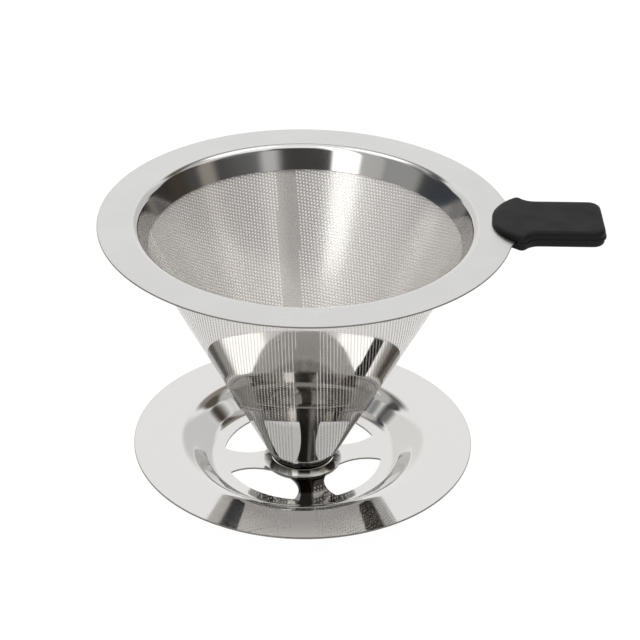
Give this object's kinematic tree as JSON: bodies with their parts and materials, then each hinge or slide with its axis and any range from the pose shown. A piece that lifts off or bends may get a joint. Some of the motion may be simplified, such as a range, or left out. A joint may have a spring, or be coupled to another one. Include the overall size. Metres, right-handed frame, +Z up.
{
  "type": "pour over dripper",
  "caption": "Metal cone filter with a wide flanged rim, a black silicone handle sleeve and a round dished stand with drain openings, for brewing coffee over a mug.",
  "frame": {"origin": "centre of the bounding box's base; the cone's axis stands at x = -0.01345", "axes": "+Z up along the cone's axis, +X out along the handle"},
  "size_m": [0.1518, 0.125, 0.0892],
  "materials": {
    "rim_flange": "satin flange with a polished collar",
    "handle_grip": "matte black silicone",
    "outer_cone": "polished sheet with fine etched holes",
    "inner_mesh_cone": "fine woven wire mesh",
    "mesh_floor": "fine woven wire mesh",
    "tip_disc": "polished sheet with fine etched holes",
    "stand": "mirror polished"
  },
  "bodies": {
    "dripper": {"rim_flange": "rim_flange", "outer_cone": "outer_cone", "inner_mesh_cone": "inner_mesh_cone", "mesh_floor": "mesh_floor", "tip_disc": "tip_disc", "stand": "stand"},
    "grip": {"handle_grip": "handle_grip"}
  },
  "joints": [
    {"name": "grip_pull", "type": "slide", "parent": "dripper", "child": "grip", "axis": [1, 0, 0], "range_m": [0, 0.032]}
  ]
}
